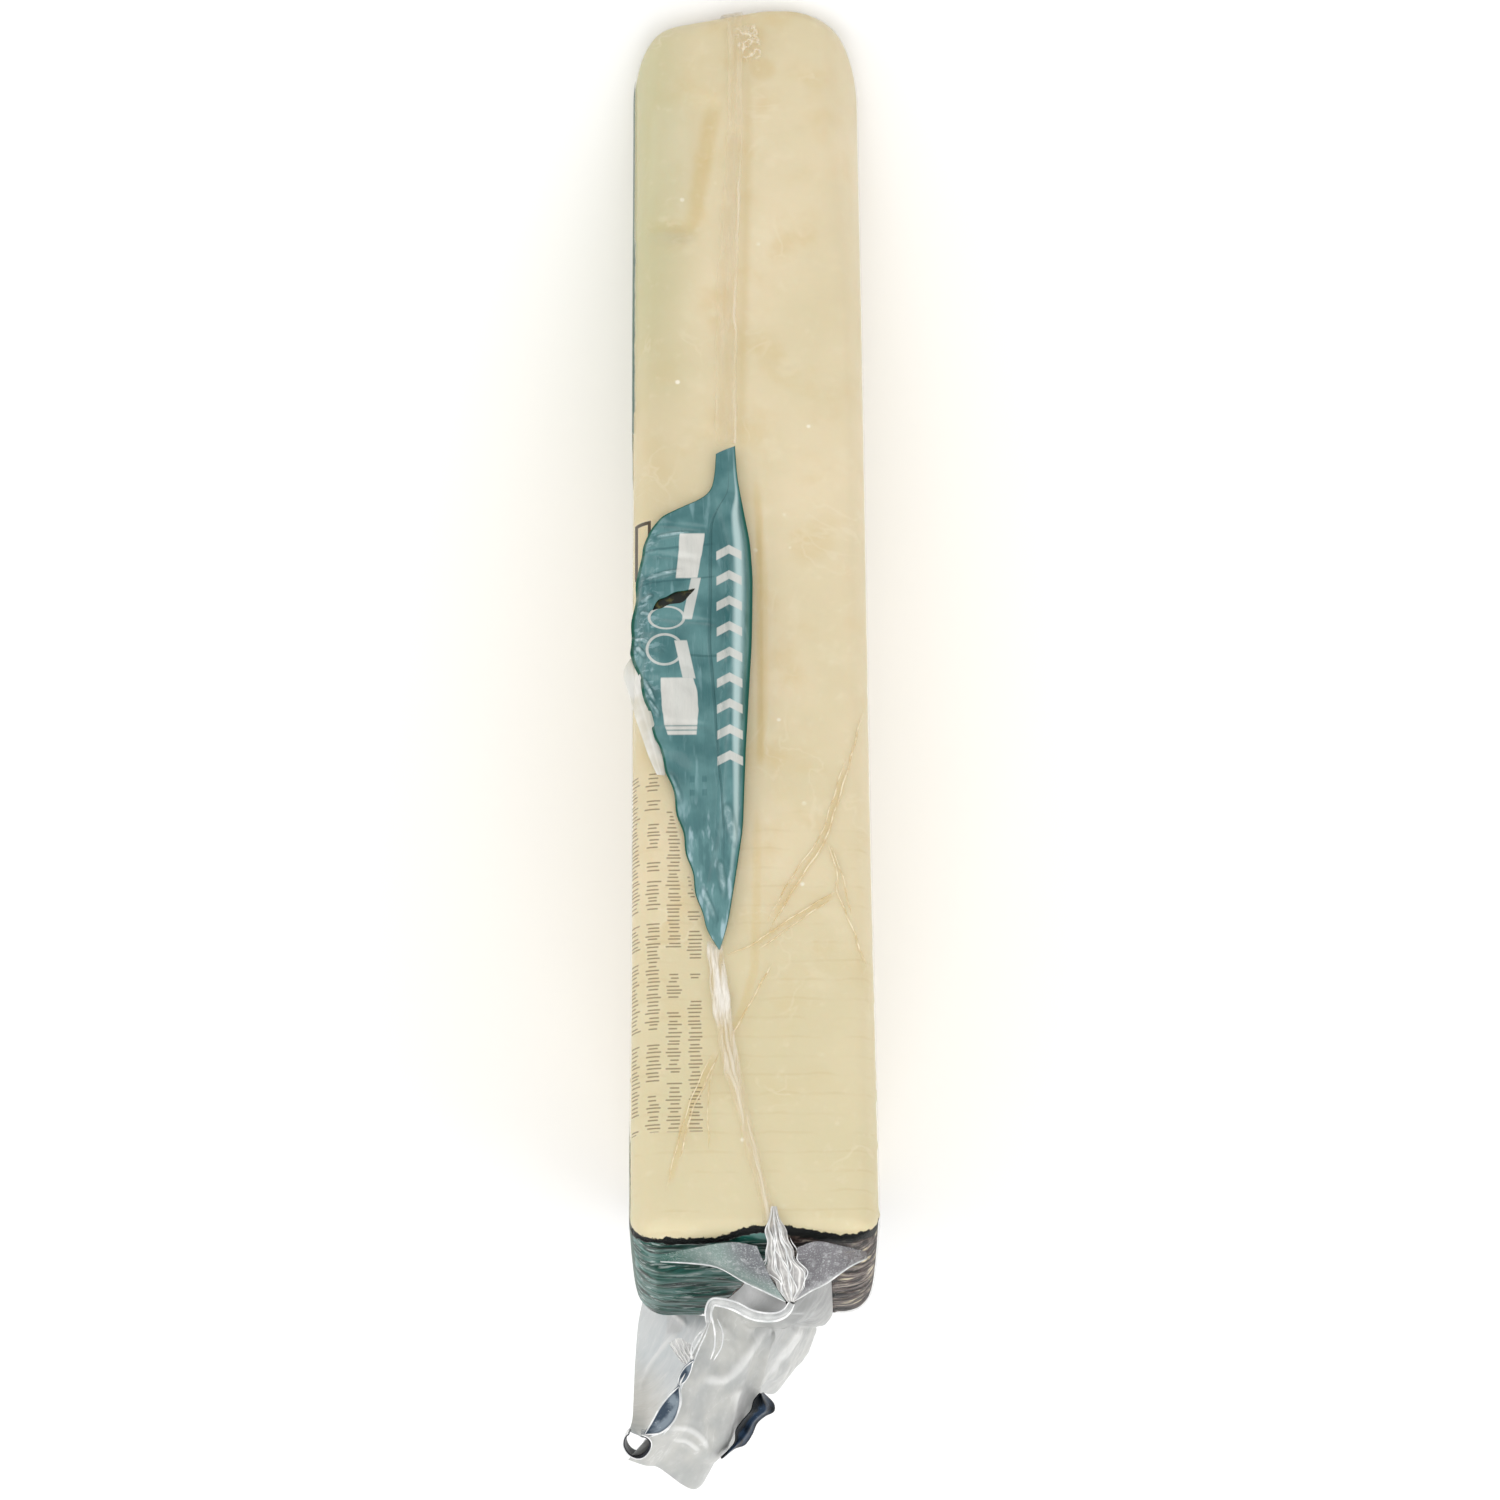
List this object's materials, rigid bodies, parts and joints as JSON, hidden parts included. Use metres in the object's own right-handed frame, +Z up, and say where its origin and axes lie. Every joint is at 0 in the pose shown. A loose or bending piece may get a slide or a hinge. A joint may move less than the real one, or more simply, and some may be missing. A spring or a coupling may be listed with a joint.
{
  "type": "pecorino romano",
  "caption": "Vacuum-packed narrow wedge of hard sheep's milk cheese with a black rind, in clear film with a folded welded rim, a green peel tab and a crumpled film tail.",
  "frame": {"origin": "below the middle of the whole pack, on the surface that it lies on", "axes": "+Y towards the thin end of the wedge and -Y towards its rind, X through the thickness, +Z up"},
  "size_m": [0.0256, 0.1434, 0.0999],
  "materials": {
    "cheese": "satin, under clinging film",
    "clear_film": "clear and glossy",
    "printed_film": "printed and glossy"
  },
  "bodies": {
    "root": {"wrapped_cheese": "cheese", "rim_strip_upper": "clear_film", "rim_strip_end": "clear_film", "rim_strip_lower": "clear_film", "peel_tab": "printed_film", "film_neck": "clear_film", "corner_web_left": "clear_film", "corner_web_right": "clear_film", "tail_back_film": "clear_film", "tail_front_film": "clear_film"}
  },
  "joints": []
}
